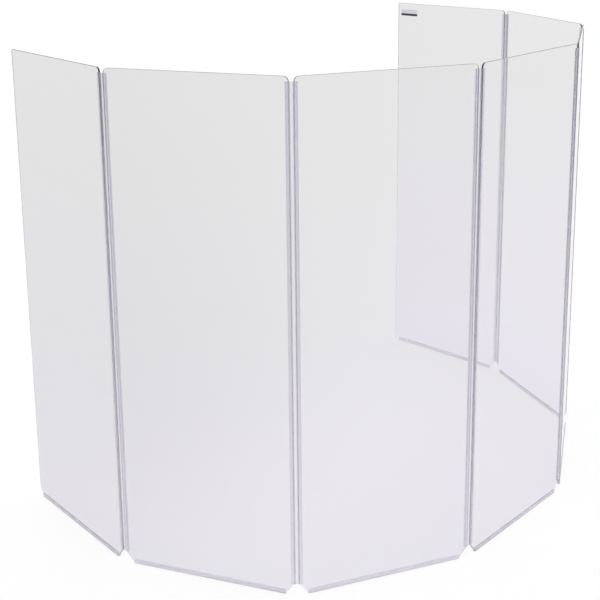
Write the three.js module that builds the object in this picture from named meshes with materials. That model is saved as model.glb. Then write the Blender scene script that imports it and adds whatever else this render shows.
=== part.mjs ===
// A folding clear screen that stands round a drum kit: seven acrylic panels joined edge to edge by
// six full-length flexible hinges, each panel standing on a thin guard strip.
// Millimetres, +Z up. The front panel is square to the X axis and faces -Y, the player sits on the
// +Y side, and the origin is on the floor under the middle of the standing screen.
import * as THREE from "three";

// Panels
const PANEL_COUNT = 7;
const FRONT_PANEL = 4;
const PANEL_WIDTH = 609.6;
const PANEL_HEIGHT = 1676.4;
const PANEL_THICKNESS = 6;
const EDGE_EASE = 0.5;
const HINGED_TOP_RADIUS = 16;
const FREE_TOP_RADIUS = 8;
const CABLE_NOTCH_WIDTH = 30;
const CABLE_NOTCH_HEIGHT = 38;
const FREE_NOTCH_WIDTH = 24;
const FREE_NOTCH_HEIGHT = 27;

// Standing bend of each hinge from straight, towards the player, from the left end to the right
const HINGE_BENDS_DEG = [31, 43, 28, 26, 33, 26];

// Hinges: a stiff channel on each panel edge and a soft web between them
const FIT_GAP = 0.3;
const GRIP_DEPTH = 10;
const GRIP_WALL = 1.3;
const GRIP_BASE = 1.6;
const GRIP_CORNER_RADIUS = 0.9;
const WEB_SPAN = 10.4;
const WEB_THICKNESS = 1.2;

// Floor guards: a U-strip pushed on to each bottom edge
const GUARD_HEIGHT = 14;
const GUARD_WALL = 1.3;
const GUARD_BASE = 1.6;
const GUARD_CORNER_RADIUS = 0.9;

// Blank label on the inner face of the last panel, near its free top corner
const LABEL_WIDTH = 96;
const LABEL_HEIGHT = 28;
const LABEL_THICKNESS = 0.5;
const LABEL_CORNER_RADIUS = 3;
const LABEL_FROM_FREE_EDGE = 19;
const LABEL_FROM_TOP = 29;

const ARC_STEPS = 8;
const QUARTER_TURN = Math.PI / 2;

// Sizes that follow from the ones above
const PANEL_FOOT = GUARD_BASE + FIT_GAP;
const GRIP_FACE = FIT_GAP + GRIP_BASE;
const BEND_FROM_EDGE = GRIP_FACE + FIT_GAP + WEB_THICKNESS / 2;
const HINGE_FOOT = PANEL_FOOT + CABLE_NOTCH_HEIGHT;
const HINGE_LENGTH = PANEL_HEIGHT - CABLE_NOTCH_HEIGHT - HINGED_TOP_RADIUS;

// Materials
function clearPlastic(color, roughness, opacity) {
  return new THREE.MeshStandardMaterial({ color, roughness, metalness: 0, transparent: true, opacity });
}

function acrylic() {
  return clearPlastic(0xe6e8ec, 0.05, 0.3);
}

function stiffVinyl() {
  return clearPlastic(0xc3c7d8, 0.2, 0.55);
}

function softVinyl() {
  return clearPlastic(0xd2d4e2, 0.3, 0.5);
}

function guardVinyl() {
  return clearPlastic(0xcfcfd6, 0.25, 0.6);
}

function labelFilm() {
  return new THREE.MeshStandardMaterial({ color: 0xd9dade, roughness: 0.4, metalness: 0.1 });
}

// Helpers
function named(name, geometry, material) {
  const mesh = new THREE.Mesh(geometry, material);
  mesh.name = name;
  return mesh;
}

// An outline drawn with x across and y up, made into a sheet that stands in the XZ plane and is
// centred on y = 0, with its edges eased on both faces.
function standingSheet(outline, thickness, ease) {
  const depth = thickness - 2 * ease;
  const geometry = new THREE.ExtrudeGeometry(outline, {
    depth,
    curveSegments: ARC_STEPS,
    bevelEnabled: ease > 0,
    bevelThickness: ease,
    bevelSize: ease,
    bevelOffset: -ease,
    bevelSegments: 1,
  });
  geometry.rotateX(QUARTER_TURN);
  geometry.translate(0, depth / 2, 0);
  return geometry;
}

// A strip of one section, drawn in plan and run straight up.
function uprightStrip(section, length) {
  return new THREE.ExtrudeGeometry(section, {
    depth: length,
    curveSegments: ARC_STEPS,
    bevelEnabled: false,
  });
}

// A U-channel section round a sheet edge that lies on x = 0. The sheet is on the -x side, and the
// channel's base is on the +x side.
function channelSection(depth, wall, base, cornerRadius) {
  const slot = PANEL_THICKNESS / 2 + FIT_GAP;
  const half = slot + wall;
  const face = FIT_GAP + base;
  const section = new THREE.Shape();
  section.moveTo(-depth, -half);
  section.absarc(face - cornerRadius, -half + cornerRadius, cornerRadius, -QUARTER_TURN, 0, false);
  section.absarc(face - cornerRadius, half - cornerRadius, cornerRadius, 0, QUARTER_TURN, false);
  section.lineTo(-depth, half);
  section.lineTo(-depth, slot);
  section.lineTo(FIT_GAP, slot);
  section.lineTo(FIT_GAP, -slot);
  section.lineTo(-depth, -slot);
  section.closePath();
  return section;
}

// Panels
function cornersOf(number) {
  const hinged = { radius: HINGED_TOP_RADIUS, notch: CABLE_NOTCH_WIDTH, rise: CABLE_NOTCH_HEIGHT };
  const free = { radius: FREE_TOP_RADIUS, notch: FREE_NOTCH_WIDTH, rise: FREE_NOTCH_HEIGHT };
  return {
    left: number === 1 ? free : hinged,
    right: number === PANEL_COUNT ? free : hinged,
  };
}

function panelOutline({ left, right }) {
  const outline = new THREE.Shape();
  outline.moveTo(left.notch, 0);
  outline.lineTo(PANEL_WIDTH - right.notch, 0);
  outline.lineTo(PANEL_WIDTH, right.rise);
  outline.absarc(
    PANEL_WIDTH - right.radius, PANEL_HEIGHT - right.radius, right.radius, 0, QUARTER_TURN, false
  );
  outline.absarc(
    left.radius, PANEL_HEIGHT - left.radius, left.radius, QUARTER_TURN, 2 * QUARTER_TURN, false
  );
  outline.lineTo(0, left.rise);
  outline.closePath();
  return outline;
}

function makePanel(number) {
  const sheet = standingSheet(panelOutline(cornersOf(number)), PANEL_THICKNESS, EDGE_EASE);
  const panel = named(`panel_${number}`, sheet, acrylic());
  panel.position.z = PANEL_FOOT;
  return panel;
}

// Hinges
function makeGrip(name) {
  const section = channelSection(GRIP_DEPTH, GRIP_WALL, GRIP_BASE, GRIP_CORNER_RADIUS);
  const grip = named(name, uprightStrip(section, HINGE_LENGTH), stiffVinyl());
  grip.position.z = HINGE_FOOT;
  return grip;
}

// The web's origin is the bend line beside the left-hand grip. Its ends are round about the two
// bend lines, so it meets both grips alike at any standing bend.
function makeWeb(name) {
  const radius = WEB_THICKNESS / 2;
  const section = new THREE.Shape();
  section.absarc(0, 0, radius, QUARTER_TURN, 3 * QUARTER_TURN, false);
  section.absarc(WEB_SPAN, 0, radius, -QUARTER_TURN, QUARTER_TURN, false);
  section.closePath();
  return named(name, uprightStrip(section, HINGE_LENGTH), softVinyl());
}

// Floor guards
function makeGuard(number) {
  const { left, right } = cornersOf(number);
  const section = channelSection(
    GUARD_HEIGHT - PANEL_FOOT, GUARD_WALL, GUARD_BASE, GUARD_CORNER_RADIUS
  );
  const geometry = uprightStrip(section, PANEL_WIDTH - left.notch - right.notch);
  const down = new THREE.Vector3(0, 0, -1);
  const across = new THREE.Vector3(0, 1, 0);
  const along = new THREE.Vector3(1, 0, 0);
  geometry.applyMatrix4(new THREE.Matrix4().makeBasis(down, across, along));
  const guard = named(`panel_${number}_floor_guard`, geometry, guardVinyl());
  guard.position.set(left.notch, 0, PANEL_FOOT);
  return guard;
}

// Label
function makeLabel() {
  const outline = new THREE.Shape();
  const w = LABEL_WIDTH;
  const h = LABEL_HEIGHT;
  const r = LABEL_CORNER_RADIUS;
  outline.absarc(w - r, r, r, -QUARTER_TURN, 0, false);
  outline.absarc(w - r, h - r, r, 0, QUARTER_TURN, false);
  outline.absarc(r, h - r, r, QUARTER_TURN, 2 * QUARTER_TURN, false);
  outline.absarc(r, r, r, 2 * QUARTER_TURN, 3 * QUARTER_TURN, false);
  outline.closePath();
  const label = named("blank_label", standingSheet(outline, LABEL_THICKNESS, 0), labelFilm());
  label.position.set(
    PANEL_WIDTH - LABEL_FROM_FREE_EDGE - LABEL_WIDTH,
    (PANEL_THICKNESS + LABEL_THICKNESS) / 2 + FIT_GAP,
    PANEL_FOOT + PANEL_HEIGHT - LABEL_FROM_TOP - LABEL_HEIGHT
  );
  return label;
}

// A panel with what it carries. Its x runs from its left edge to its right edge, and +y is the
// player's side.
function panelAssembly(number) {
  const assembly = new THREE.Group();
  assembly.add(makePanel(number), makeGuard(number));
  if (number > 1) {
    const grip = makeGrip(`hinge_${number - 1}_grip_right`);
    grip.rotation.z = Math.PI;
    assembly.add(grip);
  }
  if (number < PANEL_COUNT) {
    const grip = makeGrip(`hinge_${number}_grip_left`);
    grip.position.x = PANEL_WIDTH;
    assembly.add(grip);
  }
  if (number === PANEL_COUNT) {
    assembly.add(makeLabel());
  }
  return assembly;
}

// Layout in plan: each panel and web has a start point and a heading
function ahead(start, heading, distance) {
  return {
    x: start.x + distance * Math.cos(heading),
    y: start.y + distance * Math.sin(heading),
  };
}

function layOut(bends) {
  const panels = { [FRONT_PANEL]: { start: { x: 0, y: 0 }, heading: 0 } };
  const webs = {};
  for (let n = FRONT_PANEL; n < PANEL_COUNT; n += 1) {
    const { start, heading } = panels[n];
    const webHeading = heading + bends[n - 1] / 2;
    const nextHeading = heading + bends[n - 1];
    const leftBend = ahead(start, heading, PANEL_WIDTH + BEND_FROM_EDGE);
    const rightBend = ahead(leftBend, webHeading, WEB_SPAN);
    webs[n] = { start: leftBend, heading: webHeading };
    panels[n + 1] = { start: ahead(rightBend, nextHeading, BEND_FROM_EDGE), heading: nextHeading };
  }
  for (let n = FRONT_PANEL - 1; n >= 1; n -= 1) {
    const { start, heading } = panels[n + 1];
    const webHeading = heading - bends[n - 1] / 2;
    const ownHeading = heading - bends[n - 1];
    const rightBend = ahead(start, heading, -BEND_FROM_EDGE);
    const leftBend = ahead(rightBend, webHeading, -WEB_SPAN);
    webs[n] = { start: leftBend, heading: webHeading };
    panels[n] = {
      start: ahead(leftBend, ownHeading, -(PANEL_WIDTH + BEND_FROM_EDGE)),
      heading: ownHeading,
    };
  }
  return { panels, webs };
}

function stand(object, { start, heading }) {
  object.position.x = start.x;
  object.position.y = start.y;
  object.rotation.z = heading;
  return object;
}

const { panels, webs } = layOut(HINGE_BENDS_DEG.map(THREE.MathUtils.degToRad));
const screen = new THREE.Group();
for (const [number, place] of Object.entries(panels)) {
  screen.add(stand(panelAssembly(Number(number)), place));
}
for (const [number, place] of Object.entries(webs)) {
  const web = stand(makeWeb(`hinge_${number}_web`), place);
  web.position.z = HINGE_FOOT;
  screen.add(web);
}

// The origin goes under the middle of the screen's box.
const box = new THREE.Box3().setFromObject(screen, true);
const middle = box.getCenter(new THREE.Vector3());
screen.position.set(-middle.x, -middle.y, -box.min.z);

const drumShield = new THREE.Group();
drumShield.name = "drum_shield";
drumShield.add(screen);

export default drumShield;
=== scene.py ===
import math

import bpy
from mathutils import Matrix, Vector


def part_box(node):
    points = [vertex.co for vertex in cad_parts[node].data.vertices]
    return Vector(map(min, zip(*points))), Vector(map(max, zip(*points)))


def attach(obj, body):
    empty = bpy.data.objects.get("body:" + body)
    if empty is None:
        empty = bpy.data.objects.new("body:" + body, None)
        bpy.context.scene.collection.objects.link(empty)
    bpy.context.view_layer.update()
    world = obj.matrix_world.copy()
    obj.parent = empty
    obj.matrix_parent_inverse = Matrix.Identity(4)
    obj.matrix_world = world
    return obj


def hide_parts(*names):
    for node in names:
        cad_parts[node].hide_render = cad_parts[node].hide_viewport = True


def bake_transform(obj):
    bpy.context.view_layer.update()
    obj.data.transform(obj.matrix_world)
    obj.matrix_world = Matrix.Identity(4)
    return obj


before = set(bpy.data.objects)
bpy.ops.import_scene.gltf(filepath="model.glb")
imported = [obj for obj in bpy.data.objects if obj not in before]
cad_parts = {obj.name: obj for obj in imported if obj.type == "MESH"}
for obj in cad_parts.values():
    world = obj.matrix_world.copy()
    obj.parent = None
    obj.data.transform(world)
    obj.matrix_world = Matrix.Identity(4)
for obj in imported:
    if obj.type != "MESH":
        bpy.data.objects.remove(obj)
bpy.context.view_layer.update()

scene = bpy.context.scene
scene.view_settings.view_transform = "Standard"

MM = 0.001

# Camera: a long lens above and to the left of the screen. The shift puts its axis above the middle
# of the picture.
CAMERA_PLACE = (-3.65824, -2.75501, 2.19758)
CAMERA_HEADING_DEG = 40.13
CAMERA_PITCH_DEG = -14.258
CAMERA_ROLL_DEG = -0.598
CAMERA_LENS = 74.327
CAMERA_SENSOR = 36.0
CAMERA_SHIFT_UP = -0.1583
FAR_CLIP = 200.0

# The front panel stands square to the frame, so its nodes give the sizes that every panel shares
FRONT_PANEL = 4
PANEL_COUNT = 7
panel_low, panel_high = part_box("panel_4")
grip_low, grip_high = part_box("hinge_3_grip_right")
guard_low, guard_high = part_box("panel_4_floor_guard")
PANEL_WIDTH, PANEL_THICKNESS, PANEL_HEIGHT = panel_high - panel_low
PANEL_FOOT = panel_low.z
GRIP_FACE = panel_low.x - grip_low.x
GRIP_DEPTH = grip_high.x - panel_low.x
GRIP_HALF = (grip_high.y - grip_low.y) / 2
HINGE_FOOT = grip_low.z
HINGE_TOP = grip_high.z
HINGED_TOP_RADIUS = panel_high.z - HINGE_TOP
CABLE_NOTCH_WIDTH = guard_low.x - panel_low.x
CABLE_NOTCH_HEIGHT = HINGE_FOOT - PANEL_FOOT
GUARD_HALF = (guard_high.y - guard_low.y) / 2
GUARD_RISE = guard_high.z - PANEL_FOOT

# Sizes that no box gives. Each web starts and ends on a bend line just off the channels' faces.
HINGE_BENDS_DEG = [31, 43, 28, 26, 33, 26]
FREE_TOP_RADIUS = 8 * MM
FREE_NOTCH_WIDTH = 24 * MM
FREE_NOTCH_HEIGHT = 27 * MM
FIT_GAP = 0.3 * MM
BEND_FROM_FACE = 0.9 * MM
WEB_SPAN = 10.4 * MM
WEB_THICKNESS = 1.2 * MM
WEB_FOOT_THICKNESS = 2.2 * MM
WEB_TUCK = 0.5 * MM
BEND_FROM_EDGE = GRIP_FACE + BEND_FROM_FACE

# Finer forms
EDGE_ROUND = 1.1 * MM
EDGE_STEPS = 3
CORNER_STEPS = 20
CHANNEL_ROUND = 1.1 * MM
CHANNEL_STEPS = 5
LIP_DEPTH = 0.6 * MM
SOLE_DEPTH = 1.2 * MM
RIB_HEIGHT = 0.25 * MM
RIB_WIDTH = 0.9 * MM
RIB_SPACING = 2.6 * MM
RIB_COUNT = 3
FIRST_RIB_FROM_LIP = 2.2 * MM
CREASE_DEG = 35
WEB_STEPS = 24
WEB_FOOT_TAPER = 6
LABEL_CORNER_RADIUS = 3 * MM
LABEL_EDGE_ROUND = 0.12 * MM
LABEL_BAR_SHARE = 0.36


# Camera
def aim(heading, pitch, roll):
    return (
        Matrix.Rotation(math.radians(heading - 90), 4, "Z")
        @ Matrix.Rotation(math.radians(90 + pitch), 4, "X")
        @ Matrix.Rotation(math.radians(roll), 4, "Z")
    )


camera_data = bpy.data.cameras.new("camera")
camera_data.lens = CAMERA_LENS
camera_data.sensor_width = CAMERA_SENSOR
camera_data.shift_y = CAMERA_SHIFT_UP
camera_data.clip_end = FAR_CLIP
camera = bpy.data.objects.new("camera", camera_data)
camera.matrix_world = Matrix.Translation(CAMERA_PLACE) @ aim(
    CAMERA_HEADING_DEG, CAMERA_PITCH_DEG, CAMERA_ROLL_DEG
)
scene.collection.objects.link(camera)
scene.camera = camera


# Node helpers. The values of a noise texture keep mostly between these two.
NOISE_LOW = 0.3
NOISE_HIGH = 0.7


class Nodes:
    """A short way to add nodes to a tree and to join their sockets."""

    def __init__(self, tree):
        self.tree = tree
        tree.nodes.clear()

    def add(self, kind, settings=None, **inputs):
        node = self.tree.nodes.new(kind)
        for name, value in (settings or {}).items():
            setattr(node, name, value)
        for name, value in inputs.items():
            self.put(node, name.replace("_", " "), value)
        return node

    def put(self, node, socket, value):
        target = node.inputs[socket]
        if isinstance(value, bpy.types.NodeSocket):
            self.tree.links.new(value, target)
        elif isinstance(value, bpy.types.Node):
            self.tree.links.new(value.outputs[0], target)
        else:
            target.default_value = value

    def operate(self, kind, operation, a, b):
        node = self.add(kind, {"operation": operation})
        self.put(node, 0, a)
        self.put(node, 1, b)
        return node

    def math(self, operation, a, b):
        return self.operate("ShaderNodeMath", operation, a, b)

    def vector_math(self, operation, a, b=(0, 0, 0)):
        return self.operate("ShaderNodeVectorMath", operation, a, b)

    def mix_shaders(self, share, first, second):
        node = self.add("ShaderNodeMixShader")
        for socket, value in enumerate((share, first, second)):
            self.put(node, socket, value)
        return node

    def object_place(self):
        return self.add("ShaderNodeTexCoord").outputs["Object"]

    def height(self):
        """Height above the floor, on which every piece's own frame stands."""
        return self.add("ShaderNodeSeparateXYZ", Vector=self.object_place()).outputs["Z"]

    def height_share(self):
        return self.math("DIVIDE", self.height(), PANEL_HEIGHT)

    def noise(self, scale, stretch=(1, 1, 1), detail=3.0):
        """Noise in the piece's own metres, drawn out where stretch is small."""
        mapping = self.add("ShaderNodeMapping", Vector=self.object_place(), Scale=stretch)
        return self.add("ShaderNodeTexNoise", Vector=mapping, Scale=scale, Detail=detail)

    def spread(self, source, low, high):
        """A noise factor, which keeps near a half, brought to the range from low to high."""
        return self.add(
            "ShaderNodeMapRange", Value=source, From_Min=NOISE_LOW, From_Max=NOISE_HIGH,
            To_Min=low, To_Max=high,
        )

    def tint(self, share, low, high, blend="MIX"):
        """From colour low to colour high, or to low times high where blend is MULTIPLY."""
        node = self.add("ShaderNodeMix", {"data_type": "RGBA", "blend_type": blend})
        self.put(node, 0, share)
        for socket, colour in ((6, low), (7, high)):
            self.put(node, socket, (*colour, 1) if isinstance(colour, tuple) else colour)
        return node.outputs[2]

    def seen(self):
        """1 for what the camera sees, straight or by way of gloss or glass."""
        ray = self.add("ShaderNodeLightPath").outputs
        straight_or_gloss = self.math("MAXIMUM", ray["Is Camera Ray"], ray["Is Glossy Ray"])
        return self.math("MAXIMUM", straight_or_gloss, ray["Is Transmission Ray"])

    def backdrop(self, outward):
        """White where it is seen straight or in gloss, and a pale grey through the sheets, which
        is darkest where outward points behind the screen's left end."""
        bearing = math.radians(BACKDROP_DARK_BEARING_DEG)
        darkest = (math.cos(bearing), math.sin(bearing), 0)
        heading = self.vector_math("NORMALIZE", outward)
        nearness = self.vector_math("DOT_PRODUCT", heading, darkest).outputs["Value"]
        loss = self.add(
            "ShaderNodeMapRange", {"interpolation_type": "SMOOTHSTEP"}, Value=nearness,
            From_Min=BACKDROP_LIGHT_UP_TO, To_Min=1 - BACKDROP_LIGHT, To_Max=1 - BACKDROP_DARK,
        )
        through_sheet = self.add("ShaderNodeLightPath").outputs["Is Transmission Ray"]
        return self.math("SUBTRACT", 1.0, self.math("MULTIPLY", through_sheet, loss))


def make_material(name):
    material = bpy.data.materials.new(name)
    material.use_nodes = True
    return material, Nodes(material.node_tree)


# Stage: a pale floor and a white surround
FLOOR_HALF = 60.0
FLOOR_ALBEDO = 0.95
FLOOR_SEEN_WHITE = 0.7
AMBIENT = 0.55
WHITE = (1, 1, 1, 1)

# The backdrop as it shows through the sheets: it darkens towards one bearing from the origin. At
# BACKDROP_LIGHT_UP_TO, the cosine of the angle to that bearing, it is still at its lightest.
# Bearings are taken from below the floor, so that the shade is smooth at the origin.
BACKDROP_LIGHT = 0.782
BACKDROP_DARK = 0.636
BACKDROP_DARK_BEARING_DEG = 110
BACKDROP_LIGHT_UP_TO = -0.1
BACKDROP_ORIGIN_DEPTH = 1.0


def make_world():
    world = bpy.data.worlds.new("surround")
    world.use_nodes = True
    nodes = Nodes(world.node_tree)
    lit = nodes.add("ShaderNodeBackground", Color=WHITE, Strength=AMBIENT)
    # White stands for the lit paper's share, so that no line shows where the floor ends
    direction = nodes.add("ShaderNodeTexCoord").outputs["Generated"]
    shade = nodes.math("MULTIPLY", nodes.backdrop(direction), FLOOR_SEEN_WHITE)
    strength = nodes.math("ADD", shade, 1 - FLOOR_SEEN_WHITE)
    backdrop = nodes.add("ShaderNodeBackground", Color=WHITE, Strength=strength)
    surface = nodes.mix_shaders(nodes.seen(), lit, backdrop)
    nodes.add("ShaderNodeOutputWorld", Surface=surface)
    scene.world = world


def make_floor():
    material, nodes = make_material("floor_white")
    paper = nodes.add("ShaderNodeBsdfDiffuse", Color=(FLOOR_ALBEDO,) * 3 + (1,))
    outward = nodes.vector_math("ADD", nodes.object_place(), (0, 0, BACKDROP_ORIGIN_DEPTH))
    white = nodes.add("ShaderNodeEmission", Color=WHITE, Strength=nodes.backdrop(outward))
    share = nodes.math("MULTIPLY", nodes.seen(), FLOOR_SEEN_WHITE)
    nodes.add("ShaderNodeOutputMaterial", Surface=nodes.mix_shaders(share, paper, white))
    mesh = bpy.data.meshes.new("floor")
    sides = ((-1, -1), (1, -1), (1, 1), (-1, 1))
    corners = [(x * FLOOR_HALF, y * FLOOR_HALF, 0) for x, y in sides]
    mesh.from_pydata(corners, [], [(0, 1, 2, 3)])
    mesh.materials.append(material)
    floor = bpy.data.objects.new("floor", mesh)
    scene.collection.objects.link(floor)


# Lamps: name, direction that the light comes from, strength and spread. Each is a wide soft sky
# light, so the floor is as bright far off as it is near.
LAMPS = [
    ("key_light", (-0.55, -0.75, 1.6), 1.55, 70),
    ("fill_light", (0.9, 0.3, 1.1), 0.45, 90),
]


def make_lamps():
    for name, direction, strength, spread in LAMPS:
        data = bpy.data.lights.new(name, "SUN")
        data.energy = strength
        data.angle = math.radians(spread)
        lamp = bpy.data.objects.new(name, data)
        lamp.rotation_euler = Vector(direction).to_track_quat("Z", "Y").to_euler()
        scene.collection.objects.link(lamp)


make_world()
make_floor()
make_lamps()


# Materials. The edge's painted shade, dark at the top, keeps to its upper part by the power
# below, and the die's lines are noise drawn out along the strip by DIE_LINE_STRETCH.
ACRYLIC_IOR = 1.49
VINYL_IOR = 1.53
EDGE_PAINTED_SHADE_POWER = 2.5
DIE_LINE_STRETCH = 0.003


def lets_lamps_through(nodes, surface, shade):
    """Shadow rays pass the surface, tinted, so lamps light what stands behind clear plastic."""
    shadow_ray = nodes.add("ShaderNodeLightPath").outputs["Is Shadow Ray"]
    clear = nodes.add("ShaderNodeBsdfTransparent", Color=(*shade, 1))
    mixed = nodes.mix_shaders(shadow_ray, surface, clear)
    nodes.add("ShaderNodeOutputMaterial", Surface=mixed)


def acrylic_face():
    """Clear sheet with faint wipe marks: neutral at the top and painted faintly lavender at the
    foot, a painted cast of light from the floor behind it.
    """
    material, nodes = make_material("acrylic_face")
    wipe = nodes.noise(2.2, stretch=(1.0, 1.0, 3.0), detail=4.0)
    haze = nodes.noise(900, detail=2.0)
    surface = nodes.add(
        "ShaderNodeBsdfPrincipled",
        Base_Color=nodes.tint(nodes.height_share(), (0.95, 0.928, 0.99), (0.95, 0.95, 0.95)),
        Roughness=nodes.spread(wipe, 0.0, 0.025),
        IOR=ACRYLIC_IOR,
        Transmission_Weight=1.0,
        Normal=nodes.add("ShaderNodeBump", Height=haze, Strength=0.03, Distance=0.01 * MM),
    )
    lets_lamps_through(nodes, surface, (0.94, 0.94, 0.95))
    return material


def acrylic_edge(name, top, foot, transmission, gloss):
    """Satin cut edge: the light that leaves here has run the length of the sheet. Its colour is
    painted:
    painted shade near black at the top, growing into painted light from the pale floor at the
    foot. Less transmission lets the edge glow in its own colour."""
    material, nodes = make_material(name)
    colour = nodes.tint(nodes.math("POWER", nodes.height_share(), EDGE_PAINTED_SHADE_POWER), foot, top)
    saw = nodes.noise(260)
    surface = nodes.add(
        "ShaderNodeBsdfPrincipled",
        Base_Color=nodes.tint(nodes.spread(saw, 0, 0.08), colour, (0.6, 0.6, 0.64)),
        Roughness=nodes.spread(saw, 0.2, 0.4),
        IOR=ACRYLIC_IOR,
        Specular_IOR_Level=gloss,
        Transmission_Weight=transmission,
        Normal=nodes.add("ShaderNodeBump", Height=saw, Strength=0.2, Distance=0.05 * MM),
    )
    lets_lamps_through(nodes, surface, (0.75, 0.75, 0.78))
    return material


def extruded_vinyl(name, dark, pale, top, transmission, rough, shade, run="z"):
    """Milky extruded strip, with the fine lines that the die leaves along its run. Its colour is
    painted: palest at the foot as painted light from the pale floor, and multiplied towards the
    tint given for the top as painted shade, at full height."""
    material, nodes = make_material(name)
    stretch = tuple(DIE_LINE_STRETCH if axis == run else 1.0 for axis in "xyz")
    lines = nodes.noise(1000, stretch=stretch, detail=1.0)
    cloud = nodes.noise(9)
    shading = nodes.math("MULTIPLY", nodes.spread(lines, 0.7, 1), nodes.spread(cloud, 0.6, 1))
    streaks = nodes.tint(shading, dark, pale)
    surface = nodes.add(
        "ShaderNodeBsdfPrincipled",
        Base_Color=nodes.tint(nodes.height_share(), streaks, top, "MULTIPLY"),
        Roughness=nodes.spread(cloud, rough - 0.05, rough + 0.07),
        IOR=VINYL_IOR,
        Transmission_Weight=transmission,
        Normal=nodes.add("ShaderNodeBump", Height=lines, Strength=0.08, Distance=0.02 * MM),
    )
    lets_lamps_through(nodes, surface, shade)
    return material


def label_film():
    """Silvery film with fine brush lines and a plain dark bar along its foot."""
    material, nodes = make_material("label_silver")
    label_low, label_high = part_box("blank_label")
    bar_top = label_low.z + LABEL_BAR_SHARE * (label_high.z - label_low.z)
    bar = nodes.math("LESS_THAN", nodes.height(), bar_top)
    brush = nodes.noise(1500, stretch=(0.03, 1, 1), detail=2.0)
    silver = nodes.tint(nodes.spread(brush, 0, 1), (0.60, 0.61, 0.63), (0.76, 0.77, 0.79))
    surface = nodes.add(
        "ShaderNodeBsdfPrincipled",
        Base_Color=nodes.tint(bar, silver, (0.035, 0.036, 0.042)),
        Roughness=nodes.spread(brush, 0.28, 0.42),
        Metallic=0.35,
        Normal=nodes.add("ShaderNodeBump", Height=brush, Strength=0.1, Distance=0.02 * MM),
    )
    nodes.add("ShaderNodeOutputMaterial", Surface=surface)
    return material


UNTINTED = (1.00, 1.00, 1.00)
face_material = acrylic_face()
edge_material = acrylic_edge(
    "acrylic_edge", top=(0.04, 0.04, 0.06), foot=(0.92, 0.90, 1.00),
    transmission=0.7, gloss=0.3
)
# The held edge is painted near black up the channel: painted shade where the channel covers it,
# with the same painted floor light at the foot.
held_edge_material = acrylic_edge(
    "acrylic_held_edge", top=(0.02, 0.02, 0.05), foot=(0.95, 0.90, 1.00),
    transmission=0.1, gloss=0.1
)
# Grips, their lips and the webs are painted darker towards the top: painted shade.
grip_material = extruded_vinyl(
    "grip_vinyl", dark=(0.93, 0.92, 0.98), pale=(0.99, 0.98, 1.00), top=(0.89, 0.89, 0.92),
    transmission=0.96, rough=0.13, shade=(0.96, 0.96, 0.98)
)
# The lips are painted darker as well: painted shade for the dark line that each rim shows.
grip_lip_material = extruded_vinyl(
    "grip_lip_vinyl", dark=(0.62, 0.60, 0.72), pale=(0.78, 0.76, 0.88), top=(0.55, 0.55, 0.58),
    transmission=0.9, rough=0.16, shade=(0.90, 0.90, 0.93)
)
web_material = extruded_vinyl(
    "web_vinyl", dark=(0.94, 0.93, 0.98), pale=(1.00, 0.99, 1.00), top=(0.95, 0.95, 0.97),
    transmission=0.93, rough=0.2, shade=(0.96, 0.96, 0.98)
)
guard_material = extruded_vinyl(
    "guard_wall_vinyl", dark=(0.93, 0.91, 0.98), pale=(0.99, 0.97, 1.00), top=UNTINTED,
    transmission=0.9, rough=0.14, shade=(0.94, 0.94, 0.96), run="x"
)
guard_lip_material = extruded_vinyl(
    "guard_lip_vinyl", dark=(0.90, 0.88, 0.95), pale=(0.97, 0.95, 1.00), top=UNTINTED,
    transmission=0.55, rough=0.18, shade=(0.80, 0.80, 0.83), run="x"
)
# The sole is painted near black: painted shade where the guard meets the floor.
guard_sole_material = extruded_vinyl(
    "guard_sole_vinyl", dark=(0.16, 0.15, 0.20), pale=(0.26, 0.25, 0.30), top=UNTINTED,
    transmission=0.55, rough=0.3, shade=(0.80, 0.80, 0.83), run="x"
)
label_material = label_film()


# Plan: each panel's frame has its left edge at x = 0 and the player's side towards +y, and each
# web's frame has its left bend line at x = 0
def along(distance):
    return Matrix.Translation((distance, 0, 0))


def turned(angle):
    return Matrix.Rotation(angle, 4, "Z")


def lay_out():
    middle_y = (panel_low.y + panel_high.y) / 2
    panels = {FRONT_PANEL: Matrix.Translation((panel_low.x, middle_y, 0))}
    webs = {}
    for n in range(FRONT_PANEL, PANEL_COUNT):
        half = math.radians(HINGE_BENDS_DEG[n - 1]) / 2
        webs[n] = panels[n] @ along(PANEL_WIDTH + BEND_FROM_EDGE) @ turned(half)
        panels[n + 1] = webs[n] @ along(WEB_SPAN) @ turned(half) @ along(BEND_FROM_EDGE)
    for n in range(FRONT_PANEL - 1, 0, -1):
        half = math.radians(HINGE_BENDS_DEG[n - 1]) / 2
        webs[n] = panels[n + 1] @ along(-BEND_FROM_EDGE) @ turned(-half) @ along(-WEB_SPAN)
        panels[n] = webs[n] @ turned(-half) @ along(-PANEL_WIDTH - BEND_FROM_EDGE)
    return panels, webs


# Mesh helpers
def arc(x, y, radius, start_deg, end_deg, steps):
    points = []
    for i in range(steps + 1):
        a = math.radians(start_deg + (end_deg - start_deg) * i / steps)
        points.append((x + radius * math.cos(a), y + radius * math.sin(a)))
    return points


def inset(outline, distance):
    """A convex outline, counterclockwise, drawn in by a distance."""
    drawn = []
    for i, here in enumerate(outline):
        before = Vector(here) - Vector(outline[i - 1])
        after = Vector(outline[(i + 1) % len(outline)]) - Vector(here)
        left = Vector((-before.y, before.x)).normalized()
        right = Vector((-after.y, after.x)).normalized()
        inward = (left + right).normalized()
        drawn.append(Vector(here) + inward * (distance / inward.dot(left)))
    return drawn


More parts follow.
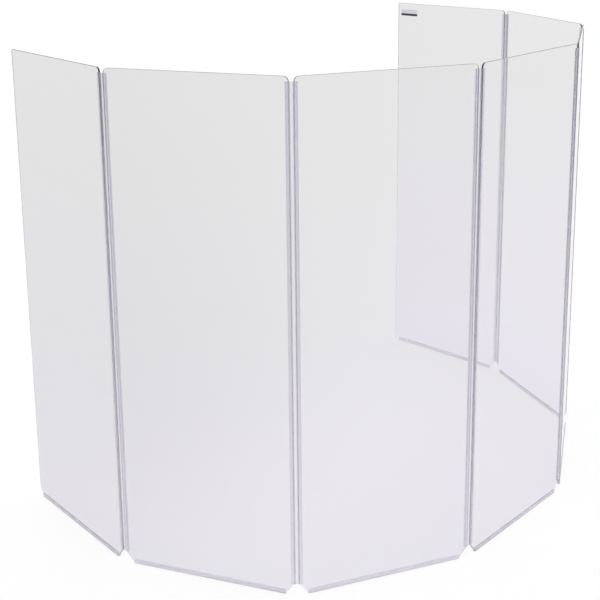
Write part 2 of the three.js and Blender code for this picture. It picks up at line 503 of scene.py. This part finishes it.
def stacked_mesh(name, rings):
    """A closed mesh through rings of equal length, each counterclockwise, from the lowest up. It
    is smooth apart from its two ends."""
    count = len(rings[0])
    points = [tuple(p) for ring in rings for p in ring]
    faces = [tuple(reversed(range(count)))]
    for k in range(len(rings) - 1):
        a, b = k * count, (k + 1) * count
        for i in range(count):
            j = (i + 1) % count
            faces.append((a + i, a + j, b + j, b + i))
    last = (len(rings) - 1) * count
    faces.append(tuple(range(last, last + count)))
    mesh = bpy.data.meshes.new(name)
    mesh.from_pydata(points, [], faces)
    smooth = [False] + [True] * (len(faces) - 2) + [False]
    mesh.polygons.foreach_set("use_smooth", smooth)
    return mesh


def standing_sheet(name, outline, thickness, rounding):
    """A sheet that stands in the XZ plane with rounded edges. Slot 1 is its edge material, which
    starts one step into the rounding, so that the faces run smoothly into it."""
    rings = []
    for side in (-1, 1):
        for i in range(EDGE_STEPS + 1):
            a = math.radians(90 * (i if side < 0 else EDGE_STEPS - i) / EDGE_STEPS)
            depth = side * (thickness / 2 - rounding * (1 - math.cos(a)))
            ring = inset(outline, rounding * (1 - math.sin(a)))
            rings.append([(p[0], p[1], depth) for p in ring])
    mesh = stacked_mesh(name, rings)
    mesh.transform(Matrix.Rotation(math.radians(90), 4, "X"))
    first_step = len(outline)
    for polygon in mesh.polygons[1 + first_step:-1 - first_step]:
        polygon.material_index = 1
    return mesh


def strip_mesh(name, section, start, end, lip=None):
    """A closed section, drawn in plan, run up from start to end. Its corners stay crisp. Slot 1 is
    the material of its cut ends and of the faces beyond lip, where x is lowest."""
    mesh = stacked_mesh(name, [[(x, y, z) for x, y in section] for z in (start, end)])
    mesh.set_sharp_from_angle(angle=math.radians(CREASE_DEG))
    if lip is not None:
        for polygon in mesh.polygons:
            if polygon.center.x < lip or abs(polygon.normal.z) > 0.5:
                polygon.material_index = 1
    return mesh


def channel_section(depth, half, face):
    """A U-channel round a sheet edge that lies on x = 0, with the sheet on the -x side. Its lips
    are round, and shallow ribs inside each wall hold the sheet."""
    slot = PANEL_THICKNESS / 2 + FIT_GAP
    lip = (half - slot) / 2
    corner = face - CHANNEL_ROUND
    outer = arc(corner, half - CHANNEL_ROUND, CHANNEL_ROUND, 0, 90, CHANNEL_STEPS)
    rounded_lip = arc(-depth + lip, slot + lip, lip, 90, 270, 2 * CHANNEL_STEPS)
    wall = []
    for i in range(RIB_COUNT):
        x = -depth + FIRST_RIB_FROM_LIP + i * RIB_SPACING
        wall += [(x, slot), (x + RIB_WIDTH / 2, slot - RIB_HEIGHT), (x + RIB_WIDTH, slot)]
    upper = outer + rounded_lip + wall + [(FIT_GAP, slot)]
    lower = [(x, -y) for x, y in reversed(upper)]
    return upper + lower


def web_section(bend):
    """The soft web between its bend lines, on the arc that leaves both grips straight, with a
    thicker foot tucked into each grip."""
    half = math.radians(bend) / 2
    radius = WEB_SPAN / 2 / math.sin(half)
    reach = BEND_FROM_FACE + WEB_TUCK
    line = []
    for i in range(WEB_STEPS + 1):
        a = half * (2 * i / WEB_STEPS - 1)
        x = WEB_SPAN / 2 + radius * math.sin(a)
        y = radius * (math.cos(half) - math.cos(a))
        share = abs(2 * i / WEB_STEPS - 1)
        line.append((x, y, a, share ** WEB_FOOT_TAPER))
    x, y = reach * math.cos(half), reach * math.sin(half)
    line.insert(0, (-x, y, -half, 1.0))
    line.append((WEB_SPAN + x, y, half, 1.0))
    lower, upper = [], []
    for x, y, a, foot in line:
        t = (WEB_THICKNESS + (WEB_FOOT_THICKNESS - WEB_THICKNESS) * foot) / 2
        lower.append((x + t * math.sin(a), y - t * math.cos(a)))
        upper.append((x - t * math.sin(a), y + t * math.cos(a)))
    return lower + upper[::-1]


# Pieces
def add_piece(mesh, materials, place):
    for material in materials:
        mesh.materials.append(material)
    piece = bpy.data.objects.new(mesh.name, mesh)
    piece.matrix_world = place
    scene.collection.objects.link(piece)
    return piece


def corner_sizes(number):
    """(top radius, notch width, notch height) of a panel's left and right corners."""
    hinged = (HINGED_TOP_RADIUS, CABLE_NOTCH_WIDTH, CABLE_NOTCH_HEIGHT)
    free = (FREE_TOP_RADIUS, FREE_NOTCH_WIDTH, FREE_NOTCH_HEIGHT)
    return (free if number == 1 else hinged), (free if number == PANEL_COUNT else hinged)


def panel_outline(number):
    left, right = corner_sizes(number)
    left_radius, left_notch, left_rise = left
    right_radius, right_notch, right_rise = right
    w, h = PANEL_WIDTH, PANEL_HEIGHT
    outline = [(left_notch, 0), (w - right_notch, 0), (w, right_rise)]
    outline += arc(w - right_radius, h - right_radius, right_radius, 0, 90, CORNER_STEPS)
    outline += arc(left_radius, h - left_radius, left_radius, 90, 180, CORNER_STEPS)
    outline += [(0, left_rise)]
    return [(x, y + PANEL_FOOT) for x, y in outline]


def add_panel(number, place):
    name = f"panel_{number}"
    mesh = standing_sheet(f"{name}_sheet", panel_outline(number), PANEL_THICKNESS, EDGE_ROUND)
    # Slot 2 is the part of an upright edge that a channel holds
    held = [x for x, hinged in ((0, number > 1), (PANEL_WIDTH, number < PANEL_COUNT)) if hinged]
    for polygon in mesh.polygons:
        x, _, z = polygon.center
        beside_hinge = min(abs(x - edge) for edge in held) < EDGE_ROUND
        if polygon.material_index == 1 and beside_hinge and HINGE_FOOT < z < HINGE_TOP:
            polygon.material_index = 2
    materials = [face_material, edge_material, held_edge_material]
    sheet = add_piece(mesh, materials, place)
    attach(sheet, name)
    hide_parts(name)


def add_guard(number, place):
    (_, left_notch, _), (_, right_notch, _) = corner_sizes(number)
    section = channel_section(GUARD_RISE, GUARD_HALF, PANEL_FOOT)
    end = PANEL_WIDTH - right_notch
    lip = -GUARD_RISE + LIP_DEPTH
    mesh = strip_mesh(f"panel_{number}_guard_strip", section, left_notch, end, lip)
    # Slot 2 is the sole, which lies on the floor
    for polygon in mesh.polygons:
        if polygon.center.x > PANEL_FOOT - SOLE_DEPTH:
            polygon.material_index = 2
    # The section's x points down, its y across the sheet and its run along it
    mesh.transform(Matrix(((0, 0, 1, 0), (0, 1, 0, 0), (-1, 0, 0, PANEL_FOOT), (0, 0, 0, 1))))
    materials = [guard_material, guard_lip_material, guard_sole_material]
    guard = add_piece(mesh, materials, place)
    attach(guard, f"panel_{number}")
    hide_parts(f"panel_{number}_floor_guard")


def add_grip(hinge, side, panel, place):
    section = channel_section(GRIP_DEPTH, GRIP_HALF, GRIP_FACE)
    lip = -GRIP_DEPTH + LIP_DEPTH
    mesh = strip_mesh(f"hinge_{hinge}_channel_{side}", section, HINGE_FOOT, HINGE_TOP, lip)
    grip = add_piece(mesh, [grip_material, grip_lip_material], place)
    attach(grip, f"panel_{panel}")
    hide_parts(f"hinge_{hinge}_grip_{side}")


def add_web(hinge, place):
    section = web_section(HINGE_BENDS_DEG[hinge - 1])
    mesh = strip_mesh(f"hinge_{hinge}_soft_web", section, HINGE_FOOT, HINGE_TOP)
    web = add_piece(mesh, [web_material], place)
    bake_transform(web)
    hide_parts(f"hinge_{hinge}_web")


def add_label(place):
    corners = [place.inverted() @ v.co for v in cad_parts["blank_label"].data.vertices]
    low = Vector(min(c[i] for c in corners) for i in range(3))
    high = Vector(max(c[i] for c in corners) for i in range(3))
    w, t, h = high - low
    radius = LABEL_CORNER_RADIUS
    outline = (
        arc(w - radius, radius, radius, -90, 0, CORNER_STEPS)
        + arc(w - radius, h - radius, radius, 0, 90, CORNER_STEPS)
        + arc(radius, h - radius, radius, 90, 180, CORNER_STEPS)
        + arc(radius, radius, radius, 180, 270, CORNER_STEPS)
    )
    mesh = standing_sheet("blank_label_film", outline, t, LABEL_EDGE_ROUND)
    mesh.transform(Matrix.Translation((low.x, low.y + t / 2, low.z)))
    label = add_piece(mesh, [label_material, label_material], place)
    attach(label, f"panel_{PANEL_COUNT}")
    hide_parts("blank_label")


panels, webs = lay_out()
for number, place in panels.items():
    add_panel(number, place)
    add_guard(number, place)
    if number > 1:
        add_grip(number - 1, "right", number, place @ turned(math.pi))
    if number < PANEL_COUNT:
        add_grip(number, "left", number, place @ along(PANEL_WIDTH))
for hinge, place in webs.items():
    add_web(hinge, place)
add_label(panels[PANEL_COUNT])
